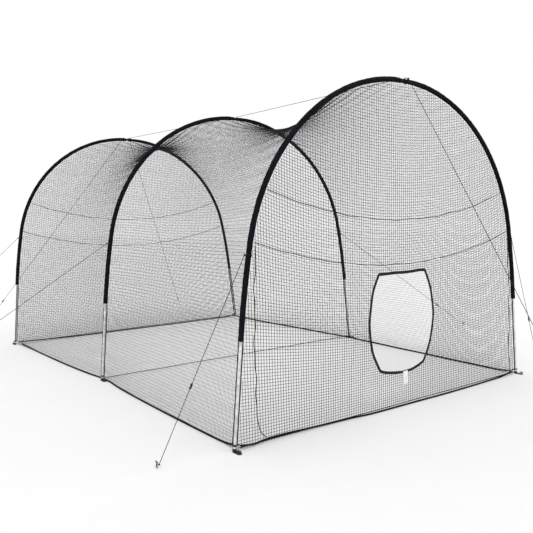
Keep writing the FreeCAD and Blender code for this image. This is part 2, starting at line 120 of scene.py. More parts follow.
class Shader:
    """A procedural material: a Principled shader and the nodes that feed it."""

    def __init__(self, name, **values):
        self.material = bpy.data.materials.new(name)
        self.material.use_nodes = True
        self.tree = self.material.node_tree
        self.surface = self.tree.nodes["Principled BSDF"]
        self.place = self.tree.nodes.new("ShaderNodeTexCoord")
        for key, value in values.items():
            self.surface.inputs[key.replace("_", " ")].default_value = value

    def node(self, kind, inputs, **settings):
        """Adds a node; an input is a value or another node's output."""
        made = self.tree.nodes.new("ShaderNode" + kind)
        for key, value in settings.items():
            setattr(made, key, value)
        for key, value in inputs.items():
            self.feed(made.inputs[key], value)
        return made

    def feed(self, socket, value):
        if isinstance(value, bpy.types.NodeSocket):
            self.tree.links.new(value, socket)
        else:
            socket.default_value = value

    def stretched(self, where, scale):
        """Texture coordinates scaled apart in each direction."""
        inputs = {"Vector": self.place.outputs[where], "Scale": scale}
        return self.node("Mapping", inputs).outputs["Vector"]

    def noise(self, scale, detail=3.0, rough=0.5, vector=None):
        inputs = {"Scale": scale, "Detail": detail, "Roughness": rough}
        inputs["Vector"] = self.place.outputs["Object"] if vector is None else vector
        return self.node("TexNoise", inputs).outputs["Fac"]

    def wave(self, scale, vector, direction, distortion):
        inputs = {"Scale": scale, "Vector": vector, "Distortion": distortion}
        made = self.node("TexWave", inputs, bands_direction=direction)
        return made.outputs["Fac"]

    def mapped(self, value, low, high, start=0.0, end=1.0):
        """Maps start..end of a value to low..high."""
        inputs = {"Value": value, "From Min": start, "From Max": end}
        inputs.update({"To Min": low, "To Max": high})
        return self.node("MapRange", inputs).outputs["Result"]

    def sum(self, a, b, share=1.0):
        """The first value plus a share of the second."""
        inputs = {0: b, 1: share, 2: a}
        return self.node("Math", inputs, operation="MULTIPLY_ADD").outputs["Value"]

    def colours(self, value, *stops):
        """Colours along a value, each stop a place and a colour."""
        ramp = self.node("ValToRGB", {"Fac": value})
        elements = ramp.color_ramp.elements
        while len(elements) < len(stops):
            elements.new(0.5)
        for element, (place, colour) in zip(elements, stops):
            element.position = place
            element.color = (*colour, 1.0)
        return ramp.outputs["Color"]

    def finish(self, colour, roughness, height, strength, distance):
        """Wires colour, roughness and bump into the surface."""
        self.feed(self.surface.inputs["Base Color"], colour)
        self.feed(self.surface.inputs["Roughness"], roughness)
        inputs = {"Height": height, "Strength": strength, "Distance": distance}
        bump = self.node("Bump", inputs)
        self.feed(self.surface.inputs["Normal"], bump.outputs["Normal"])
        return self.material


def galvanised():
    """Zinc-coated tube: bright, mottled, with drawn lines along it and a few scuffs."""
    m = Shader("galvanised", Metallic=0.95)
    cloud = m.noise(30.0, 4.0)
    drawn = m.noise(60.0, 2.0, 0.5, m.stretched("Object", (12.0, 12.0, 0.4)))
    scuffs = m.mapped(m.noise(180.0, 5.0, 0.7), 0.0, 1.0, 0.60, 0.72)
    colour = m.colours(cloud, (0.35, (0.52, 0.53, 0.55)), (0.65, (0.80, 0.81, 0.82)))
    rough = m.sum(m.mapped(drawn, 0.24, 0.42), scuffs, 0.22)
    return m.finish(colour, rough, m.sum(drawn, scuffs, -0.6), 0.35, 0.0006)


def fibreglass():
    """Pultruded rod: grey-green resin with lengthwise glass strands."""
    m = Shader("fibreglass", Coat_Weight=0.3, Coat_Roughness=0.25)
    strands = m.noise(90.0, 4.0, 0.6, m.stretched("Object", (9.0, 9.0, 0.5)))
    colour = m.colours(strands, (0.3, (0.18, 0.20, 0.17)), (0.7, (0.42, 0.45, 0.38)))
    return m.finish(colour, m.mapped(strands, 0.3, 0.5), strands, 0.3, 0.0004)


def sleeve_fabric():
    """Tight black polyester: a fine plain weave, dusty in patches, cool where light grazes it."""
    m = Shader("sleeve_fabric", Sheen_Weight=0.02, Sheen_Roughness=0.4,
               Sheen_Tint=(0.55, 0.65, 0.95, 1.0), Specular_IOR_Level=0.04)
    threads = m.stretched("UV", (1.0, 1.0, 1.0))
    across = m.wave(700.0, threads, "X", 0.4)
    along = m.wave(700.0, threads, "Y", 0.4)
    dust = m.noise(7.0, 5.0, 0.6)
    slubs = m.noise(500.0, 3.0, 0.6, m.stretched("UV", (0.15, 1.0, 1.0)))
    colour = m.colours(m.sum(dust, slubs, 0.12), (0.42, (0.0025, 0.0030, 0.0045)),
                       (0.72, (0.0075, 0.0085, 0.0120)))
    weave = m.sum(across, along)
    rough = m.mapped(dust, 0.50, 0.72)
    return m.finish(colour, rough, m.sum(weave, slubs, 0.8), 0.30, 0.0005)


def blackened_steel():
    """Oil-blackened ferrule: dark, satin, with fine turning marks and rubbed patches."""
    m = Shader("blackened_steel", Metallic=0.9)
    marks = m.noise(400.0, 3.0, 0.6, m.stretched("Object", (1.0, 0.2, 1.0)))
    stains = m.noise(45.0, 4.0)
    colour = m.colours(stains, (0.3, (0.018, 0.018, 0.020)), (0.7, (0.055, 0.054, 0.052)))
    return m.finish(colour, m.mapped(marks, 0.25, 0.45), marks, 0.3, 0.0003)


def moulded_plastic(name, dark, pale, grain):
    """Moulded black plastic with a spark-eroded grain and rubbed, dusty patches."""
    m = Shader(name, Specular_IOR_Level=0.35)
    pits = m.noise(grain, 2.0, 0.5)
    rub = m.noise(28.0, 5.0, 0.65)
    colour = m.colours(rub, (0.40, dark), (0.75, pale))
    rough = m.sum(m.mapped(rub, 0.34, 0.60), pits, 0.10)
    return m.finish(colour, rough, m.sum(pits, rub, 0.5), 0.35, 0.0006)


def painted_steel():
    """Black-painted peg, chipped to bare steel and rusting at the chips."""
    m = Shader("painted_steel")
    chips = m.mapped(m.noise(120.0, 5.0, 0.65), 0.0, 1.0, 0.60, 0.64)
    rust = m.noise(60.0, 4.0)
    base = m.colours(rust, (0.45, (0.014, 0.014, 0.015)), (0.70, (0.045, 0.028, 0.020)))
    bare = m.colours(rust, (0.40, (0.45, 0.44, 0.42)), (0.65, (0.20, 0.09, 0.04)))
    inputs = {"Factor": chips, "A": base, "B": bare}
    mixed = m.node("Mix", inputs, data_type="RGBA")
    m.feed(m.surface.inputs["Metallic"], m.mapped(chips, 0.0, 0.7))
    return m.finish(mixed.outputs["Result"], m.mapped(rust, 0.35, 0.6), chips, 0.5, -0.0003)


def twine():
    """Black twisted polyethylene net twine with slightly greyed, fuzzy patches."""
    m = Shader("twine", Specular_IOR_Level=0.12)
    fade = m.noise(2.2, 4.0, 0.6)
    lay = m.wave(150.0, m.stretched("Object", (1.0, 1.0, 1.0)), "DIAGONAL", 0.6)
    colour = m.colours(m.sum(fade, lay, 0.1), (0.40, (0.006, 0.006, 0.007)),
                       (0.72, (0.020, 0.020, 0.022)))
    return m.finish(colour, m.mapped(fade, 0.55, 0.80), lay, 0.4, 0.0003)


def woven_band(name, dark, pale):
    """Woven webbing: ribs along it, a herringbone of picks across it, greyed on the high spots."""
    m = Shader(name, Specular_IOR_Level=0.15)
    flat = m.stretched("UV", (1.0, 1.0, 1.0))
    ribs = m.wave(130.0, flat, "Y", 0.0)
    picks = m.wave(210.0, flat, "DIAGONAL", 0.3)
    wear = m.noise(40.0, 5.0, 0.6)
    height = m.sum(ribs, picks, 0.6)
    colour = m.colours(m.sum(m.mapped(wear, 0.0, 0.7), height, 0.25), (0.30, dark), (0.85, pale))
    return m.finish(colour, m.mapped(wear, 0.50, 0.75), height, 0.6, 0.0008)


def laid_rope(name, dark, pale):
    """Laid rope: fibres along each strand, worn pale and dusty in patches."""
    m = Shader(name, Specular_IOR_Level=0.12)
    fibres = m.wave(900.0, m.stretched("UV", (1.0, 1.0, 1.0)), "DIAGONAL", 2.0)
    dust = m.noise(14.0, 5.0, 0.65)
    hairs = m.noise(900.0, 2.0, 0.6)
    colour = m.colours(m.sum(dust, fibres, 0.08), (0.42, dark), (0.78, pale))
    return m.finish(colour, m.mapped(dust, 0.60, 0.85), m.sum(fibres, hairs, 0.8), 0.5, 0.0005)


def tag_cloth():
    """White satin label cloth with a fine weave and grey handling marks."""
    m = Shader("tag_cloth", Sheen_Weight=0.2)
    flat = m.stretched("UV", (1.0, 1.0, 1.0))
    weave = m.sum(m.wave(500.0, flat, "X", 0.2), m.wave(500.0, flat, "Y", 0.2))
    marks = m.noise(45.0, 5.0, 0.6)
    colour = m.colours(marks, (0.35, (0.66, 0.66, 0.65)), (0.65, (0.86, 0.86, 0.85)))
    return m.finish(colour, m.mapped(marks, 0.55, 0.7), weave, 0.4, 0.0004)


BLACK, SOOT, DUST = (0.004, 0.004, 0.005), (0.009, 0.009, 0.010), (0.024, 0.024, 0.023)
LOOKS = {
    "galvanised_tube": galvanised(),
    "fibreglass_rod": fibreglass(),
    "sleeve_fabric": sleeve_fabric(),
    "ferrule_steel": blackened_steel(),
    "moulded_plastic": moulded_plastic("shoe_plastic", BLACK, DUST, 700.0),
    "peg_steel": painted_steel(),
    "net_twine": twine(),
    "webbing": woven_band("band_weave", BLACK, DUST),
    "tag_cloth": tag_cloth(),
    "runner_plastic": moulded_plastic("runner_plastic", BLACK, SOOT, 1100.0),
    "thin_cord": laid_rope("braided_cord", SOOT, DUST),
    "border_rope": laid_rope("border_rope", BLACK, DUST),
}


# Guy ropes

# Control points, as shares of the rope's length
GUY_SHARES = (0.0, 0.33, 0.67, 1.0)


def nurbs(name, points):
    """A curve of one smooth open spline with these control points."""
    curve = bpy.data.curves.new(name, "CURVE")
    curve.dimensions = "3D"
    spline = curve.splines.new("NURBS")
    spline.points.add(len(points) - 1)
    for at, point in zip(spline.points, points):
        at.co = (*point, 1.0)
    spline.order_u = 3
    spline.use_endpoint_u = True
    spline.resolution_u = 12
    return curve


def make_guys():
    """Taut ropes from the arches down to their pegs."""
    for name, (top, foot) in GUYS.items():
        top, foot = Vector(top), Vector(foot)
        points = [top.lerp(foot, share) for share in GUY_SHARES]
        curve = nurbs(name + "_rope", points)
        curve.bevel_depth = GUY_R
        curve.bevel_resolution = 3
        curve.use_fill_caps = True
        curve.materials.append(LOOKS["thin_cord"])
        rope = bpy.data.objects.new(name + "_rope", curve)
        bpy.context.scene.collection.objects.link(rope)
        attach(rope, "cage")
        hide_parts(name + "_guy")


make_guys()


# Mesh building

NEAR_AXIS = 0.8
ROPE_SIDES, ROPE_STRANDS = 12, 3
STRAND_MEAN, STRAND_SWELL = 0.91, 0.09
TIP_SCALE, SHOULDER_SCALE = 0.05, 0.75
KNOT_STEPS, KNOT_SIDES = 60, 8
COIL_STEPS = 24


def unit(vectors):
    """The same vectors, each one long."""
    return vectors / np.maximum(np.linalg.norm(vectors, axis=-1, keepdims=True), 1e-12)


def along(paths):
    """The distance of each point from its path's start."""
    steps = np.linalg.norm(np.diff(paths, axis=-2), axis=-1)
    start = np.zeros(steps.shape[:-1] + (1,))
    return np.concatenate([start, np.cumsum(steps, axis=-1)], axis=-1)


def waves(way, *terms):
    """The sum of waves along a line, each a size, radians per metre and a start."""
    return sum(size * np.sin(way * rate + start) for size, rate, start in terms)


def resampled(path, spacing):
    """The same line with its points evenly apart."""
    path = np.asarray(path, float)
    measured = along(path)
    count = max(int(round(measured[-1] / spacing)), 2) + 1
    at = np.linspace(0, measured[-1], count)
    return np.stack([np.interp(at, measured, path[:, k]) for k in range(3)], -1)


def routed(points):
    """Points along the smooth spline that has these control points."""
    curve = nurbs("route", points)
    holder = bpy.data.objects.new("route", curve)
    mesh = bpy.data.meshes.new_from_object(holder)
    line = np.array([v.co for v in mesh.vertices], float)
    bpy.data.meshes.remove(mesh)
    bpy.data.objects.remove(holder)
    bpy.data.curves.remove(curve)
    return line


def circle(radius, sides, turn=0.0):
    """A round section; radius and turn may be arrays with one value for each ring."""
    angle = np.asarray(turn)[..., None] + 2 * math.pi * np.arange(sides) / sides
    radius = np.asarray(radius)[..., None]
    return np.stack([radius * np.cos(angle), radius * np.sin(angle)], -1)


def off_axis(direction, first, second):
    """The first axis, or the second one where the direction is close to the first."""
    return first if abs(direction @ first) < NEAR_AXIS else second


def carried_frames(tangent):
    """Two directions square to each tangent of one path, carried along without twist."""
    sides = [unit(np.cross(tangent[0], off_axis(tangent[0], X_AXIS, Y_AXIS)))]
    for direction in tangent[1:]:
        sides.append(unit(sides[-1] - direction * np.dot(sides[-1], direction)))
    sides = np.array(sides)
    return sides, np.cross(sides, tangent)


class Build:
    """Gathers swept strips of quads into one mesh, with metres as its UV map."""

    def __init__(self):
        self.points, self.quads, self.uvs = [], [], []
        self.count = 0

    def sweep(self, paths, section, ref=None):
        """Draws a closed section along one path, or along each of an array of equal paths.

        The section may change from ring to ring. Its first direction is square to ref and to
        the path; with no ref it is carried along the one path without twist."""
        paths = np.asarray(paths, float)
        paths = paths[None] if paths.ndim == 2 else paths
        many, rings = paths.shape[:2]
        tangent = unit(np.gradient(paths, axis=1))
        if ref is None:
            side, up = (d[None] for d in carried_frames(tangent[0]))
        else:
            side = unit(np.cross(tangent, ref))
            up = np.cross(side, tangent)
        sides = section.shape[-2]
        points = (paths[:, :, None] + section[..., :1] * side[:, :, None]
                  + section[..., 1:] * up[:, :, None])
        start = np.arange(many)[:, None, None] * rings * sides
        i = np.arange(rings - 1)[None, :, None] * sides
        j = np.arange(sides)[None, None]
        k = (j + 1) % sides
        corners = (i + j, i + sides + j, i + sides + k, i + k)
        quads = start[..., None] + np.stack(np.broadcast_arrays(*corners), -1)
        edge = np.linalg.norm(section[..., 0, :] - section[..., 1, :], axis=-1).mean()
        measured = along(paths)
        u0, u1 = measured[:, :-1, None], measured[:, 1:, None]
        v0, v1 = edge * j, edge * (j + 1)
        uvs = [np.stack(np.broadcast_arrays(u, v), -1) for u, v in
               ((u0, v0), (u1, v0), (u1, v1), (u0, v1))]
        self.points.append(points.reshape(-1, 3))
        self.quads.append(quads.reshape(-1, 4) + self.count)
        self.uvs.append(np.stack(uvs, -2).reshape(-1, 2))
        if sides % 2 == 0:
            self.cap(start.ravel(), rings, sides, edge)
        self.count += many * rings * sides

    def cap(self, starts, rings, sides, edge):
        """Closes both ends of swept sections with strips of quads from one half to the other."""
        j = np.arange(sides // 2 - 1)
        strip = np.stack([j, j + 1, sides - 2 - j, sides - 1 - j], -1)
        last = (rings - 1) * sides
        for corners in (strip, strip[:, ::-1] + last):
            quads = starts[:, None, None] + corners + self.count
            self.quads.append(quads.reshape(-1, 4))
            spread = np.stack([corners % sides, np.zeros_like(corners)], -1) * edge
            self.uvs.append(np.tile(spread.reshape(-1, 2), (len(starts), 1)))

    def piece(self, name, look, nodes=()):
        """Makes the object, gives it its material and sets it on the cage."""
        mesh = bpy.data.meshes.new(name)
        mesh.from_pydata(np.concatenate(self.points), [], np.concatenate(self.quads))
        layer = mesh.uv_layers.new(name="UVMap")
        layer.data.foreach_set("uv", np.concatenate(self.uvs).astype(np.float32).ravel())
        mesh.shade_smooth()
        mesh.materials.append(LOOKS[look])
        made = bpy.data.objects.new(name, mesh)
        bpy.context.scene.collection.objects.link(made)
        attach(made, "cage")
        if nodes:
            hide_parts(*nodes)
        return made


def ended(radius, rings):
    """A radius for each ring that rounds off both ends."""
    scale = np.ones(rings)
    scale[[0, -1]] = TIP_SCALE
    scale[[1, -2]] = SHOULDER_SCALE
    return radius * scale


def rope(build, path, radius, pitch, ref=None):
    """A three-strand laid rope along a path."""
    path = resampled(path, pitch / 10)
    turn = 2 * math.pi * along(path) / pitch
    angle = ROPE_STRANDS * 2 * math.pi * np.arange(ROPE_SIDES) / ROPE_SIDES
    lobe = STRAND_MEAN + STRAND_SWELL * np.cos(angle)
    section = circle(ended(radius, len(path)), ROPE_SIDES, turn) * lobe[:, None]
    build.sweep(path, section, ref)


def knot(build, centre, axis, size, thickness):
    """A pulled-up overhand knot lying across an axis."""
    axis = unit(np.asarray(axis, float))
    side = unit(np.cross(axis, off_axis(axis, X_AXIS, Y_AXIS)))
    up = np.cross(side, axis)
    t = np.linspace(0, 2 * math.pi, KNOT_STEPS)
    x = (np.sin(t) + 2 * np.sin(2 * t)) / 3
    y = (np.cos(t) - 2 * np.cos(2 * t)) / 3
    z = -np.sin(3 * t) / 2
    loop = np.outer(x, side) + np.outer(y, up) + np.outer(z, axis)
    build.sweep(np.asarray(centre) + size * loop, circle(thickness, KNOT_SIDES))


def coil(centre, axis, radius, turns, pitch, start=0.0):
    """A helix of cord round an axis, centred on a point."""
    axis = unit(np.asarray(axis, float))
    side = unit(np.cross(axis, off_axis(axis, Y_AXIS, X_AXIS)))
    up = np.cross(side, axis)
    t = np.linspace(-turns / 2, turns / 2, int(COIL_STEPS * turns) + 1)
    angle = start + 2 * math.pi * t
    around = radius * (np.outer(np.cos(angle), side) + np.outer(np.sin(angle), up))
    return np.asarray(centre) + around + np.outer(pitch * t, axis)


def profile(s, sag=0.0, inset=0.0):
    """X, Z and lean at s along half an arch from its foot, moved inset inwards.

    Sag is 0 at an arch and 1 halfway between two, where the net is drawn in."""
    s, sag, inset = np.broadcast_arrays(np.asarray(s, float), sag, inset)
    splay = SPLAY + (SAG_SPLAY - SPLAY) * sag
    shoulder = splay + SIDE_TURN
    side_x = FOOT_X - LEG_LENGTH * np.sin(splay) - SIDE_RADIUS * np.cos(splay)
    side_z = LEG_LENGTH * np.cos(splay) - SIDE_RADIUS * np.sin(splay)
    top_r = (side_x + SIDE_RADIUS * np.cos(shoulder)) / np.cos(shoulder)
    top_z = side_z + SIDE_RADIUS * np.sin(shoulder) - top_r * np.sin(shoulder)
    up_top = (s - SIDE_END) / (ARCH_LENGTH - SIDE_END)
    on_leg, on_side = s <= LEG_LENGTH, s <= SIDE_END
    lean = np.where(on_side, splay + (s - LEG_LENGTH) / SIDE_RADIUS,
                    shoulder + up_top * (math.pi / 2 - shoulder))
    lean = np.where(on_leg, splay, lean)
    x = np.where(on_side, side_x + (SIDE_RADIUS - inset) * np.cos(lean),
                 (top_r - inset) * np.cos(lean))
    z = np.where(on_side, side_z + (SIDE_RADIUS - inset) * np.sin(lean),
                 top_z + (top_r - inset) * np.sin(lean))
    x = np.where(on_leg, FOOT_X - s * np.sin(splay) - inset * np.cos(splay), x)
    z = np.where(on_leg, s * np.cos(splay) - inset * np.sin(splay), z)
    return x, z, lean


def on_arch(arch, side, s, inset=0.0):
    """Points at s along half of one arch from its foot, moved inset inwards."""
    centre, y = ARCHES[arch]
    x, z, _ = profile(s, 0.0, inset)
    return np.stack([centre + side * x, np.full_like(x, y), z], -1)


# Nets

# The squares' sides: up and along the walls, across the end nets, and between an end net's rows
# below and above a height
WALL_MESH = (0.030, 0.022)
END_MESH = 0.026
ROW_LOW, ROW_HIGH, ROW_CHANGE = 0.022, 0.025, 1.3
WALL_TWINE, ROOF_TWINE, END_TWINE = (circle(radius, 3) for radius in (0.0012, 0.0010, 0.0019))
NET_INSET = 0.025
NET_FOOT_GAP = 0.014
STRAND_STEP = 0.05
BAY_POINTS = 58
# The gathers beside an arch: their spacing, sideways pinch, depth, and how far they reach
GATHER, GATHER_PINCH, GATHER_DEPTH = 0.19, 0.42, 0.007
PULL_REACH, PULL_START = 0.45, 0.03
BILLOW, BILLOW_RATES = 0.004, (2.1, 7)
# How the gathers' phase drifts over a bay, and how much the two sides differ
DRIFT, DRIFT_RATE, SIDE_PHASE = 1.4, 3.1, 2.0


def bay_net(q, v, first, second):
    """Points of a bay's net at q across from its crown, negative on the left, and v along it."""
    (x0, y0), (x1, y1) = ARCHES[first], ARCHES[second]
    s = ARCH_LENGTH - np.abs(q)
    reach = np.minimum(v, 1 - v) * HALF_LENGTH
    pull = np.exp(-reach / PULL_REACH) * (1 - np.exp(-reach / PULL_START))
    phase = 2 * math.pi * s / GATHER + DRIFT * np.sin(DRIFT_RATE * q) + SIDE_PHASE * np.sign(q)
    s = s + GATHER_PINCH * GATHER / (2 * math.pi) * pull * np.sin(phase)
    billow = BILLOW * np.sin(BILLOW_RATES[0] * q + BILLOW_RATES[1] * v) * 4 * v * (1 - v)
    ripple = GATHER_DEPTH * pull * np.cos(phase) + billow
    x, z, _ = profile(np.minimum(s, ARCH_LENGTH), 4 * v * (1 - v), NET_INSET + ripple)
    return np.stack([x0 + (x1 - x0) * v + np.sign(q) * x, y0 + (y1 - y0) * v + 0 * x, z], -1)


def net_lines(low, high, mesh):
    """The places of a net's strands between two limits."""
    return np.arange(math.ceil(low / mesh), math.floor(high / mesh) + 1) * mesh


def make_bay_nets():
    """Both walls and the roof of each bay, strand by strand."""
    low = -(ARCH_LENGTH - NET_FOOT_GAP)
    seam = -(ARCH_LENGTH - SIDE_END)
    parts = {"left": (low, seam), "roof": (seam, -seam), "right": (-seam, -low)}
    up_mesh, along_mesh = WALL_MESH
    v_lines = np.linspace(0, 1, int(HALF_LENGTH / along_mesh) + 1)
    v_points = np.linspace(0, 1, BAY_POINTS)
    for bay, first, second in (("front", "front", "middle"), ("rear", "middle", "rear")):
        for part, (start, end) in parts.items():
            build = Build()
            strand = ROOF_TWINE if part == "roof" else WALL_TWINE
            q, v = np.meshgrid(net_lines(start, end, up_mesh), v_points, indexing="ij")
            build.sweep(bay_net(q, v, first, second), strand, Z_AXIS)
            q_points = np.linspace(start, end, int((end - start) / STRAND_STEP) + 1)
            v, q = np.meshgrid(v_lines, q_points, indexing="ij")
            build.sweep(bay_net(q, v, first, second), strand, Y_AXIS)
            build.piece(f"{bay}_bay_{part}_mesh", "net_twine", [f"{bay}_bay_{part}_net"])


make_bay_nets()


# End nets

# The machine opening's middle, and three points on the arc of its right side and of its bottom
OPENING_X = 0.015
OPENING_SIDE = ((0.300, 1.250), (0.418, 0.800), (0.290, 0.372))
OPENING_BOTTOM = ((0.290, 0.372), (0.0, 0.315), (-0.290, 0.372))
END_INSET, END_FOOT_GAP = 0.030, 0.010
# Heights, and how far a row at each one has risen at DROOP_REACH from its middle
DROOP = ((0.0, 0.35, 1.325, 1.722, 2.9), (0.0, 0.05, 0.26, 0.30, 0.22))
DROOP_REACH = 1.53
# Limits within which rows and uprights are looked for
ROWS_FROM, END_REACH, END_TOP = -0.35, 1.85, 2.95
END_STEP, END_RIPPLE = 0.075, 0.004
EDGE_POINTS, SIDE_POINTS, BOTTOM_POINTS = 400, 60, 40
SEARCH_POINTS, HALVINGS = 400, 12


def arc(a, b, c, count):
    """Points on the circular arc from a through b to c."""
    a, b, c = (np.asarray(p, float) for p in (a, b, c))
    rows = 2 * np.array([b - a, c - a])
    centre = np.linalg.solve(rows, [b @ b - a @ a, c @ c - a @ a])
    angles = np.unwrap([math.atan2(*(p - centre)[::-1]) for p in (a, b, c)])
    turn = np.linspace(angles[0], angles[2], count)
    radius = np.linalg.norm(a - centre)
    return centre + radius * np.stack([np.cos(turn), np.sin(turn)], -1)


EDGE_X, EDGE_Z, _ = profile(np.linspace(0, ARCH_LENGTH, EDGE_POINTS), 0.0, END_INSET)
HOLE_SIDE = arc(*OPENING_SIDE, SIDE_POINTS)[::-1]
HOLE_BOTTOM = arc(*OPENING_BOTTOM, BOTTOM_POINTS)[::-1]


def in_arch(x, z):
    """Whether a place in an end arch's plane is inside the net's edge."""
    at_height = (z >= END_FOOT_GAP) & (z < EDGE_Z[-1])
    return at_height & (np.abs(x) < np.interp(z, EDGE_Z, EDGE_X))


def in_net_with_hole(x, z):
    """The same, outside the machine opening."""
    inside = np.abs(x - OPENING_X) < np.interp(z, HOLE_SIDE[:, 1], HOLE_SIDE[:, 0])
    above = z > np.interp(x - OPENING_X, HOLE_BOTTOM[:, 0], HOLE_BOTTOM[:, 1])
    return in_arch(x, z) & ~(inside & above & (z < OPENING_SIDE[0][1]))


def stretches(line, low, high, inside):
    """The pieces of a strand, line(t) for t from low to high, that are inside the outline."""
    t = np.linspace(low, high, SEARCH_POINTS)
    ok = inside(*line(t))
    cuts = [low] if ok[0] else []
    for i in np.flatnonzero(ok[1:] != ok[:-1]):
        a, b = t[i], t[i + 1]
        for _ in range(HALVINGS):
            middle = (a + b) / 2
            if inside(*line(middle)) == ok[i]:
                a = middle
            else:
                b = middle
        cuts.append(a)
    if ok[-1]:
        cuts.append(high)
    return [pair for pair in zip(cuts[::2], cuts[1::2]) if pair[1] - pair[0] > END_MESH / 3]


def end_net(name, arch, inside):
    """A flat net whose rows hang in the same curve as the cords across it."""
    centre, y = ARCHES[arch]
    build = Build()

    def strand(line, low, high):
        for a, b in stretches(line, low, high, inside):
            t = np.linspace(a, b, max(int((b - a) / END_STEP), 1) + 1)
            x, z = line(t)
            ripple = END_RIPPLE * np.sin(4.3 * x + 1.7 * z) * np.sin(2.9 * z + 0.6)
            path = np.stack([centre + x, y + ripple, z], -1)
            build.sweep(path, END_TWINE, Y_AXIS)

    low_rows = net_lines(ROWS_FROM, ROW_CHANGE, ROW_LOW)
    high_rows = low_rows[-1] + net_lines(ROW_HIGH, EDGE_Z[-1] - ROW_CHANGE, ROW_HIGH)
    for height in np.concatenate([low_rows, high_rows]):
        drop = np.interp(height, *DROOP)
        strand(lambda t: (t, height + drop * (t / DROOP_REACH) ** 2), -END_REACH, END_REACH)
    for x in net_lines(-END_REACH, END_REACH, END_MESH):
        strand(lambda t: (x + 0 * t, t), 0.0, END_TOP)
    build.piece(name, "net_twine", [name.replace("_mesh", "_net")])


end_net("front_end_mesh", "front", in_net_with_hole)
end_net("rear_end_mesh", "rear", in_arch)


# The machine opening's edge

BAND_HALF, BAND_THICK = 0.0125, 0.0011
BAND_ARC_POINTS, BAND_STEP, BAND_SMOOTHINGS = 40, 0.008, 3
BAND_WAVES_X = ((0.003, 9.0, 0.0), (0.002, 23.0, 0.0))
BAND_WAVES_Z = ((0.003, 7.0, 1.0), (0.002, 19.0, 0.0))
STITCH_STEP, STITCH_ROWS = 0.0065, (-0.0095, 0.0095)
STITCH_HALF, STITCH_RISE, STITCH_R, STITCH_GAP = 0.0022, 0.0004, 0.0004, 0.0002
TAG_HALF_THICK, TAG_BOW, TAG_BOW_TURN = 0.0004, 0.0016, 4.0
TAG_SWAY, TAG_SWAY_TURN, TAG_BILLOW, TAG_BILLOW_PART = 0.0015, 5, 0.0035, 0.9
TAG_RINGS, TAG_POINTS, TAG_END_SCALE = 40, 16, 0.985


def make_opening():
    """The webbing round the opening, with its two rows of stitches."""
    centre = ARCHES["front"][0]
    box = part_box("opening_webbing")
    band_y = (box[0].y + box[1].y) / 2
    top = np.array([[-OPENING_SIDE[0][0], OPENING_SIDE[0][1]], OPENING_SIDE[0]])
    right = arc(*OPENING_SIDE, BAND_ARC_POINTS)
    bottom = arc(*OPENING_BOTTOM, BAND_ARC_POINTS)
    left = right[::-1] * (-1, 1)
    half = len(bottom) // 2
    outline = np.concatenate([bottom[half:], left, top, right, bottom[:half + 1]])
    flat = np.stack([centre + OPENING_X + outline[:, 0], 0 * outline[:, 0] + band_y,
                     outline[:, 1]], -1)
    path = resampled(flat, BAND_STEP)
    for _ in range(BAND_SMOOTHINGS):
        path[1:-1] = (path[:-2] + 2 * path[1:-1] + path[2:]) / 4
    way = along(path)
    path[:, 0] += waves(way, *BAND_WAVES_X)
    path[:, 2] += waves(way, *BAND_WAVES_Z)
    width, thick = BAND_HALF, BAND_THICK
    section = np.array([(-width, -thick), (-width / 2, -thick), (0, -thick), (width / 2, -thick),
                        (width, -thick), (width + thick, 0), (width, thick), (width / 2, thick),
                        (0, thick), (-width / 2, thick), (-width, thick), (-width - thick, 0)])
    build = Build()
    build.sweep(path, section, Y_AXIS)
    build.piece("opening_band", "webbing", ["opening_webbing"])
    stitches = Build()
    fine = resampled(path, STITCH_STEP)
    ahead = unit(np.gradient(fine, axis=0))
    inwards = np.cross(ahead, Y_AXIS)
    for offset in STITCH_ROWS:
        mid = fine + inwards * offset - Y_AXIS * (thick + STITCH_GAP)
        reach = ahead * STITCH_HALF
        ends = np.stack([mid - reach, mid - Y_AXIS * STITCH_RISE, mid + reach], 1)
        stitches.sweep(ends, circle(STITCH_R, 4), Y_AXIS)
    stitches.piece("opening_stitches", "webbing")


def make_tag():
    """A white cloth tag that hangs a little away from the net."""
    low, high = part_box("opening_tag")
    middle = (low + high) / 2
    down = np.linspace(0, 1, TAG_RINGS)
    path = np.stack([middle.x + TAG_SWAY * np.sin(TAG_SWAY_TURN * down),
                     middle.y - TAG_BILLOW * np.sin(math.pi * down * TAG_BILLOW_PART),
                     high.z - (high.z - low.z) * down], -1)
    width = (high.x - low.x) / 2
    across = np.linspace(-width, width, TAG_POINTS)
    bow = TAG_BOW * np.cos(across / width * TAG_BOW_TURN)
    section = np.concatenate([np.stack([across, bow - TAG_HALF_THICK], -1),
                              np.stack([across, bow + TAG_HALF_THICK], -1)[::-1]])
    scale = np.ones(len(path))
    scale[[0, -1]] = TAG_END_SCALE
    build = Build()
    build.sweep(path, section * scale[:, None, None], Y_AXIS)
    tag = build.piece("opening_label", "tag_cloth", ["opening_tag"])


make_opening()
make_tag()


# Sleeves

SLEEVE_R, SLEEVE_RINGS, SLEEVE_POINTS, SLEEVE_SEED = 0.0222, 310, 28, 20
# Each row of creases: its spacing, its turns round the sleeve and its depth
SLEEVE_CREASES = ((0.055, 1, 0.0005), (0.09, 2, 0.0006), (0.16, 1, 0.0006), (0.33, -2, 0.0006),
                  (0.031, 3, 0.0003))
SWELL_RANGE = (0.3, 0.6)
SEAM_ANGLE, SEAM_HEIGHT = 0.13, 0.0022
HEM_MIDDLE, HEM_HALF, HEM_HEIGHT = 0.012, 0.010, 0.0010
# Towards the apex the outer side narrows, over a longer stretch on the right
SLANT_LENGTHS, SLANT_DEPTH = {"left": 0.07, "right": 0.30}, 0.0082
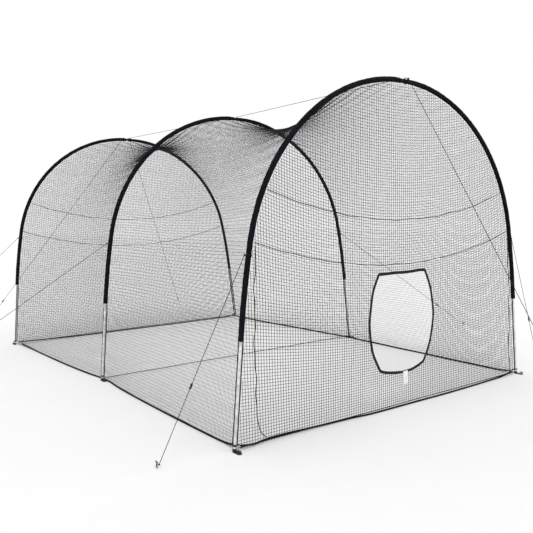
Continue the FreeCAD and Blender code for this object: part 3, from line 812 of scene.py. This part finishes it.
# The closed ends: steps beyond the hems, their radii and the scale of the rings between
END_STEPS, FOOT_END_R, TOP_END_R, END_SCALE = (0.0015, 0.003), 0.0130, 0.0146, 0.80


def make_sleeve(arch, side_name, seed):
    """A fabric tube pulled over a pole: creased, with a seam, two hems and a slanting top."""
    side = SIDES[side_name]
    start, end = SLEEVE_START, SLEEVE_END
    near, far = END_STEPS
    s = np.concatenate([[start - far, start - near],
                        np.linspace(start, end, SLEEVE_RINGS), [end + near, end + far]])
    path = on_arch(arch, side, s)
    random = np.random.default_rng(seed)
    angle = 2 * math.pi * np.arange(SLEEVE_POINTS) / SLEEVE_POINTS
    creases = np.zeros((len(s), len(angle)))
    for length, turns, size in SLEEVE_CREASES:
        phase = random.uniform(0, 2 * math.pi)
        swell = 0.5 + 0.5 * np.sin(s / random.uniform(*SWELL_RANGE) + phase)
        wave = np.sin(2 * math.pi * s[:, None] / length + turns * angle + phase)
        creases += size * swell[:, None] * wave
    radius = SLEEVE_R + creases
    seam = np.exp(-((angle - math.pi) / SEAM_ANGLE) ** 2)
    radius = radius + SEAM_HEIGHT * seam
    hem = np.maximum(np.exp(-((s - start - HEM_MIDDLE) / HEM_HALF) ** 4),
                     np.exp(-((end - HEM_MIDDLE - s) / HEM_HALF) ** 4))
    radius = radius + HEM_HEIGHT * hem[:, None]
    slant = np.clip((s - end) / SLANT_LENGTHS[side_name] + 1, 0, 1)
    radius -= SLANT_DEPTH * slant[:, None] * (1 - np.cos(angle)) / 2
    radius[0] = FOOT_END_R
    radius[-1] = TOP_END_R
    radius[[1, -2]] *= END_SCALE
    section = np.stack([radius * np.cos(angle), radius * np.sin(angle)], -1)
    build = Build()
    build.sweep(path, section, Y_AXIS * side)
    build.piece(f"{arch}_{side_name}_sleeve_cloth", "sleeve_fabric",
                [f"{arch}_{side_name}_sleeve"])


for number, arch_name in enumerate(ARCHES):
    for which in SIDES:
        make_sleeve(arch_name, which, SLEEVE_SEED + 2 * number + (which == "left"))


# Ropes and cords that the net and the poles hold

BASE_ROPE_R, BASE_ROPE_PITCH = 0.009, 0.048
# Millimetres: place along the cage, how far inside the line of the feet, and the lift
SIDE_BASE_ROPES = {
    "left": (
        (-2838, 46, 24), (-2770, 44, 10), (-2660, 34, 0), (-2440, 26, 0), (-2100, 18, 0),
        (-1720, 12, 0), (-1290, 8, 0), (-800, 6, 0), (-420, 14, 0), (-200, 31, 0), (0, 32, 0),
        (150, 27, 0), (420, 10, 0), (885, 6, 0), (1250, 12, 0), (1610, 22, 0), (2100, 38, 0),
        (2540, 62, 0), (2832, 76, 0),
    ),
    "right": (
        (-2838, 46, 24), (-2770, 44, 10), (-2660, 34, 0), (-2350, 34, 0), (-1900, 44, 0),
        (-1500, 30, 0), (-1100, 46, 0), (-700, 36, 0), (-300, 42, 0), (0, 33, 0), (300, 38, 0),
        (700, 46, 0), (1100, 32, 0), (1500, 44, 0), (1950, 50, 0), (2300, 36, 0), (2660, 34, 0),
        (2770, 44, 10), (2838, 46, 24),
    ),
}
# The same across the cage: place from the arch's middle, how far inside the arch, and the lift
END_BASE_ROPES = {
    "front": (
        (-1772, 14, 24), (-1705, 14, 10), (-1620, 26, 0), (-1514, 54, 0), (-1427, 62, 0),
        (-1327, 61, 0), (-1184, 50, 0), (-1042, 36, 0), (-890, 26, 0), (-723, 18, 0),
        (-577, 2, 0), (-450, -22, 0), (-252, -27, 0), (13, -27, 0), (290, -29, 0),
        (568, -36, 0), (899, -30, 0), (1262, -18, 0), (1530, -10, 0), (1590, 8, 0),
        (1645, 16, 0), (1708, 15, 10), (1772, 14, 24),
    ),
    "rear": (
        (-1772, 14, 24), (-1560, 15, 20), (-1200, 16, 8), (-650, 10, 0), (-200, -6, 0),
        (250, 4, 0), (700, 12, 0), (1150, -4, 0), (1500, 3, 0), (1590, 10, 0), (1645, 16, 0),
        (1708, 15, 10), (1772, 14, 24),
    ),
}
LEG_ROPE_R, LEG_ROPE_PITCH, LEG_ROPE_START, LEG_ROPE_END = 0.005, 0.034, 0.057, 0.845
LEG_ROPE_INSET, HEM_ROPE_INSET, HEM_ROPE_OUT = 0.0185, -0.007, 0.019
LEG_ROPE_WANDER, LEG_ROPE_RATE, LEG_ROPE_POINTS = 0.0008, 21, 40
# The lashing: wraps round the leg, a knot on them, and cords from there to the ropes
TIE_AT, TIE_TURNS, TIE_STEP, TIE_ROOM = 0.050, 2.75, 0.0056, 0.0032
TIE_R, TIE_PITCH, TIE_KNOT, TIE_KNOT_OUT = 0.0027, 0.020, (0.0060, 0.0026), 0.0185
LASHING_R, LASHING_PITCH, LASHING_RISE, LASHING_DIP = 0.0042, 0.030, 0.006, 0.012
MIDDLE_HOLD_INSET, MIDDLE_HOLD_DROP = 0.033, 0.003


def make_border_ropes():
    """The thick ropes through the nets' lower edges."""
    for name, route in SIDE_BASE_ROPES.items():
        ys, insets, lifts = np.array(route).T / 1000
        centres = ARCH_SHIFT * (1 - 2 * np.abs(ys) / HALF_LENGTH)
        xs = centres + SIDES[name] * (FOOT_X - insets)
        build = Build()
        line = routed(np.stack([xs, ys, lifts + BASE_ROPE_R], -1))
        rope(build, line, BASE_ROPE_R, BASE_ROPE_PITCH, Z_AXIS)
        build.piece(f"{name}_border_rope", "border_rope", [f"{name}_base_rope"])
    build = Build()
    for arch, inwards in (("front", 1), ("rear", -1)):
        centre, y = ARCHES[arch]
        xs, insets, lifts = np.array(END_BASE_ROPES[arch]).T / 1000
        line = routed(np.stack([centre + xs, y + inwards * insets, lifts + BASE_ROPE_R], -1))
        rope(build, line, BASE_ROPE_R, BASE_ROPE_PITCH, Z_AXIS)
    build.piece("end_border_ropes", "border_rope", ["end_base_ropes"])


def make_leg_ropes():
    """The two nets' thick edge ropes beside each bare leg, and the lashing at their foot."""
    ropes, lashings = Build(), Build()
    for arch in ARCHES:
        for side_name, side in SIDES.items():
            s = np.linspace(LEG_ROPE_START, LEG_ROPE_END, LEG_ROPE_POINTS)
            inset = LEG_ROPE_INSET + LEG_ROPE_WANDER * np.sin(s * LEG_ROPE_RATE + side)
            line = on_arch(arch, side, s, inset)
            rope(ropes, line, LEG_ROPE_R, LEG_ROPE_PITCH, Y_AXIS)
            beside = Y_AXIS * HEM_ROPE_OUT * (-1 if arch == "rear" else 1)
            hem_line = on_arch(arch, side, s, HEM_ROPE_INSET) + beside
            rope(ropes, hem_line, LEG_ROPE_R, LEG_ROPE_PITCH, Y_AXIS)
            tie = on_arch(arch, side, np.array([TIE_AT]))[0]
            lean = np.array([-side * math.sin(SPLAY), 0, math.cos(SPLAY)])
            wraps = coil(tie, lean, LEG_R + TIE_ROOM, TIE_TURNS, TIE_STEP, 1.0 + side)
            rope(lashings, wraps, TIE_R, TIE_PITCH)
            inwards = np.array([-side * math.cos(SPLAY), 0, -math.sin(SPLAY)])
            knot(lashings, tie + inwards * TIE_KNOT_OUT, inwards, *TIE_KNOT)
            for end in border_ends(arch, side_name):
                over = (line[0] + end) / 2 + (0, 0, LASHING_RISE)
                rope(lashings, routed([line[0], over, end]), LASHING_R, LASHING_PITCH)
            under = (line[0] + hem_line[0]) / 2 - (0, 0, LASHING_DIP)
            rope(lashings, routed([line[0], under, hem_line[0]]), LASHING_R, LASHING_PITCH)
    ropes.piece("leg_ropes", "border_rope", ["leg_edge_ropes"])
    lashings.piece("corner_lashings", "border_rope", ["corner_ties"])


def border_ends(arch, side_name):
    """The places on the border ropes that a leg's lashing holds."""
    centre, y = ARCHES[arch]
    side = SIDES[side_name]
    if arch == "middle":
        return [np.array([centre + side * (FOOT_X - MIDDLE_HOLD_INSET), y,
                          2 * BASE_ROPE_R - MIDDLE_HOLD_DROP])]
    inwards = 1 if arch == "front" else -1
    x, inset, lift = np.array(END_BASE_ROPES[arch][0 if side < 0 else -1]) / 1000
    ends = [np.array([centre + x, y + inwards * inset, lift + BASE_ROPE_R])]
    corner = SIDE_BASE_ROPES[side_name][0 if arch == "front" else -1]
    along_y, inset, lift = np.array(corner) / 1000
    if lift > 0:
        ends.append(np.array([centre + side * (FOOT_X - inset), along_y, lift + BASE_ROPE_R]))
    return ends


# Each join cord: its ends' place up the arch and the height of its lowest point
JOIN_CORDS = ((2.026, 1.722), (1.604, 1.325))
JOIN_CORD_R, JOIN_CORD_PITCH, JOIN_CORD_INSET, JOIN_CORD_OUT = 0.0035, 0.022, 0.026, 0.013
JOIN_CORD_WAVE, JOIN_CORD_RATES, JOIN_CORD_POINTS = 0.006, (17, 5.3), 120
JOIN_CORD_SWAY, JOIN_CORD_SWAY_RATE = 0.002, 11
SIDE_ROPE_R, SIDE_ROPE_PITCH, SIDE_ROPE_OUT = 0.004, 0.024, 0.006
SIDE_ROPE_STEP, SIDE_ROPE_FADE = 0.02, 0.15
SIDE_ROPE_WAVES = ((0.006, 14, 0), (0.004, 31, 1))
# Control points of the front net's side ropes: how far out, and the height
SIDE_ROPES = {
    "left": ((1.592, 1.560), (1.618, 1.000), (1.624, 0.480), (1.611, 0.230), (1.608, 0.130),
             (1.580, 0.090), (1.540, 0.052)),
    "right": ((1.592, 1.560), (1.634, 1.150), (1.668, 0.758), (1.670, 0.507), (1.678, 0.222),
              (1.712, 0.055)),
}


def make_net_cords():
    """Cords that droop across the end nets, and the front net's wavy side ropes."""
    build = Build()
    for arch, out in (("front", -1), ("rear", 1)):
        centre, y = ARCHES[arch]
        for number, (s, low) in enumerate(JOIN_CORDS):
            half, end_z, _ = profile(s, 0.0, JOIN_CORD_INSET)
            line = arc((-half, end_z), (0.0, low), (half, end_z), JOIN_CORD_POINTS)
            way = line[:, 0] + half
            fade = np.sqrt(np.clip(np.sin(math.pi * way / (2 * half)), 0, 1))
            quick, slow = JOIN_CORD_RATES
            wave = fade * JOIN_CORD_WAVE * np.sin(way * quick + number) * np.sin(way * slow)
            line[:, 1] += wave
            sway = JOIN_CORD_SWAY * fade * np.sin(way * JOIN_CORD_SWAY_RATE)
            ys = y + out * (JOIN_CORD_OUT + sway)
            path = np.stack([centre + line[:, 0], ys, line[:, 1]], -1)
            rope(build, path, JOIN_CORD_R, JOIN_CORD_PITCH, Y_AXIS)
    build.piece("net_join_cords", "thin_cord", ["join_cords"])
    build = Build()
    centre, y = ARCHES["front"]
    for side_name, route in SIDE_ROPES.items():
        points = [(centre + SIDES[side_name] * x, y - SIDE_ROPE_OUT, z) for x, z in route]
        path = resampled(routed(points), SIDE_ROPE_STEP)
        way = along(path)
        fade = np.minimum(1.0, np.minimum(way, way[-1] - way) / SIDE_ROPE_FADE)
        path[:, 0] += fade * waves(way, *SIDE_ROPE_WAVES)
        rope(build, path, SIDE_ROPE_R, SIDE_ROPE_PITCH, Y_AXIS)
    build.piece("front_edge_ropes", "thin_cord", ["front_side_ropes"])


STRAP_Y = {"front": -0.009, "middle": 0.0, "rear": 0.009}
STRAP_Z, STRAP_INSET, STRAP_FLATTEN = 0.024, 0.040, 0.9
STRAP_WANDER, STRAP_RATE_Y, STRAP_RATE_Z = 0.0012, 4, 7
STRAP_RINGS, STRAP_SIDES, STRAP_TWIST = 400, 10, 25
STRAP_R, STRAP_LUMPS, STRAP_END_R = 0.0044, (0.0003, 60, 0), 0.0005
# The whippings: how far apart, half their length and how thick
WHIPPING_STEP, WHIPPING_HALF, WHIPPING_HEIGHT = 0.36, 0.012, 0.0007


def make_straps():
    """Straight webbing straps under each arch, rolled lengthwise and whipped every so often."""
    build = Build()
    for arch, (centre, y) in ARCHES.items():
        middle = y + STRAP_Y[arch]
        half = FOOT_X - STRAP_INSET
        xs = np.linspace(-half, half, STRAP_RINGS)
        fade = 1 - (xs / half) ** 8
        ys = middle + STRAP_WANDER * fade * np.sin(xs * STRAP_RATE_Y)
        zs = STRAP_Z + STRAP_WANDER * fade * np.sin(xs * STRAP_RATE_Z)
        way = xs + half
        beside = way % WHIPPING_STEP - WHIPPING_STEP / 2
        whipping = np.exp(-(beside / WHIPPING_HALF) ** 4)
        radius = STRAP_R + waves(way, STRAP_LUMPS) + WHIPPING_HEIGHT * whipping
        radius[[0, -1]] = STRAP_END_R
        section = circle(radius, STRAP_SIDES, way * STRAP_TWIST) * (1, STRAP_FLATTEN)
        build.sweep(np.stack([centre + xs, ys, zs], -1), section, Z_AXIS)
    build.piece("arch_straps", "webbing", ["ground_straps"])


RIDGE_R, RIDGE_PITCH, RIDGE_RISE, RIDGE_END_GAP, RIDGE_POINTS = 0.0025, 0.018, 0.015, 0.021, 30


def make_ridge():
    """The cords from apex to apex, over the roof nets."""
    build = Build()
    crest = profile(ARCH_LENGTH)[1] + RIDGE_RISE
    for first, second in (("front", "middle"), ("middle", "rear")):
        a = np.array([*ARCHES[first], crest])
        b = np.array([*ARCHES[second], crest])
        step = unit(b - a) * RIDGE_END_GAP
        share = np.linspace(0, 1, RIDGE_POINTS)[:, None]
        path = (a + step) * (1 - share) + (b - step) * share
        rope(build, path, RIDGE_R, RIDGE_PITCH, Z_AXIS)
    build.piece("ridge_cords", "thin_cord", ["ridge_ropes"])


GUY_PITCH = 0.018
# Where the hitches are: before the apex, or up a side
APEX_HITCH_BACK, SIDE_HITCH_AT = 0.050, 1.500
HITCH_R, HITCH_TURNS, HITCH_STEP, HITCH_KNOT = 0.0262, 2.0, 0.0075, (0.0068, 0.0024)
EYE_R, EYE_BACK, EYE_KNOT = 0.0067, 0.0167, (0.0066, 0.0024)


def make_guy_ends():
    """Hitches round the sleeves, and the eyes and knots at the pegs."""
    hitches, eyes = Build(), Build()
    for name, (top, foot) in GUYS.items():
        top, foot = np.array(top), np.array(foot)
        line = unit(top - foot)
        side = -1 if "left" in name else 1
        s = ARCH_LENGTH - APEX_HITCH_BACK if "apex" in name else SIDE_HITCH_AT
        on_pole = on_arch(name.split("_")[0], side, np.array([s]))[0]
        lean = profile(s)[2]
        pole = np.array([-side * math.sin(lean), 0, math.cos(lean)])
        rope(hitches, coil(on_pole, pole, HITCH_R, HITCH_TURNS, HITCH_STEP), GUY_R, GUY_PITCH)
        knot(hitches, top, line, *HITCH_KNOT)
        back = unit((top - foot) * (1, 1, 0))
        heading = math.atan2(back[1], back[0])
        eye = coil(foot - back * EYE_BACK, Z_AXIS, EYE_R, 1.0, 0.0, heading)
        rope(eyes, eye, GUY_R, GUY_PITCH)
        knot(eyes, foot, line, *EYE_KNOT)
    hitches.piece("guy_rope_hitches", "thin_cord", ["guy_hitches"])
    eyes.piece("guy_rope_eyes", "thin_cord", ["guy_eyes"])


make_border_ropes()
make_leg_ropes()
make_net_cords()
make_straps()
make_ridge()
make_guy_ends()


# Rigid CAD parts keep their shape and get their finish

CARRIED = {
    "galvanised_tube": [n for n in NODES if n.endswith("_leg")],
    "fibreglass_rod": [n for n in NODES if n.endswith("_bow")],
    "ferrule_steel": ["apex_ferrules"],
    "moulded_plastic": ["foot_shoes"],
    "peg_steel": ["foot_pegs", "guy_pegs"],
    "runner_plastic": [n for n in NODES if n.endswith("_runner")],
}
for look, names in CARRIED.items():
    for node_name in names:
        part = NODES[node_name]
        for slot in part.material_slots:
            slot.material = LOOKS[look]


# Stage and light

SKY = 1.0
FLOOR_RADIUS, FLOOR_DROP = 180.0, 0.0005
FLOOR_COLOUR, FLOOR_MOTTLE = 0.80, 0.006
# How much more sun there is than would make the floor as bright as the sky
FLOOR_LIFT = 1.12
# Degrees: the sun's slant from straight down, its heading and its width
SUN_SLANT, SUN_HEADING, SUN_WIDTH = 38.0, -25.0, 30.0


def make_stage():
    """A wide pale floor. The sun makes it a little brighter than the sky and both are drawn
    white, so no horizon shows."""
    bpy.ops.mesh.primitive_circle_add(vertices=96, radius=FLOOR_RADIUS, fill_type="NGON")
    floor = bpy.context.object
    floor.name = "floor"
    floor.location.z = -FLOOR_DROP
    m = Shader("floor", Specular_IOR_Level=0.0)
    specks = m.noise(3.0, 6.0, 0.6)
    low, high = FLOOR_COLOUR - FLOOR_MOTTLE, FLOOR_COLOUR + FLOOR_MOTTLE
    colour = m.colours(specks, (0.3, (low, low, low)), (0.7, (high, high, high)))
    floor.data.materials.append(m.finish(colour, 0.9, specks, 0.05, 0.001))
    world = bpy.data.worlds.new("sky")
    bpy.context.scene.world = world
    world.use_nodes = True
    background = world.node_tree.nodes["Background"]
    background.inputs["Color"].default_value = (SKY, SKY, SKY, 1.0)
    slant = math.radians(SUN_SLANT)
    sun = bpy.data.lights.new("sun", "SUN")
    sun.energy = FLOOR_LIFT * math.pi * SKY * (1 / FLOOR_COLOUR - 1) / math.cos(slant)
    sun.angle = math.radians(SUN_WIDTH)
    lamp = bpy.data.objects.new("sun", sun)
    lamp.rotation_euler = (slant, 0.0, math.radians(SUN_HEADING))
    bpy.context.scene.collection.objects.link(lamp)
    bpy.context.scene.view_settings.view_transform = "Standard"


make_stage()
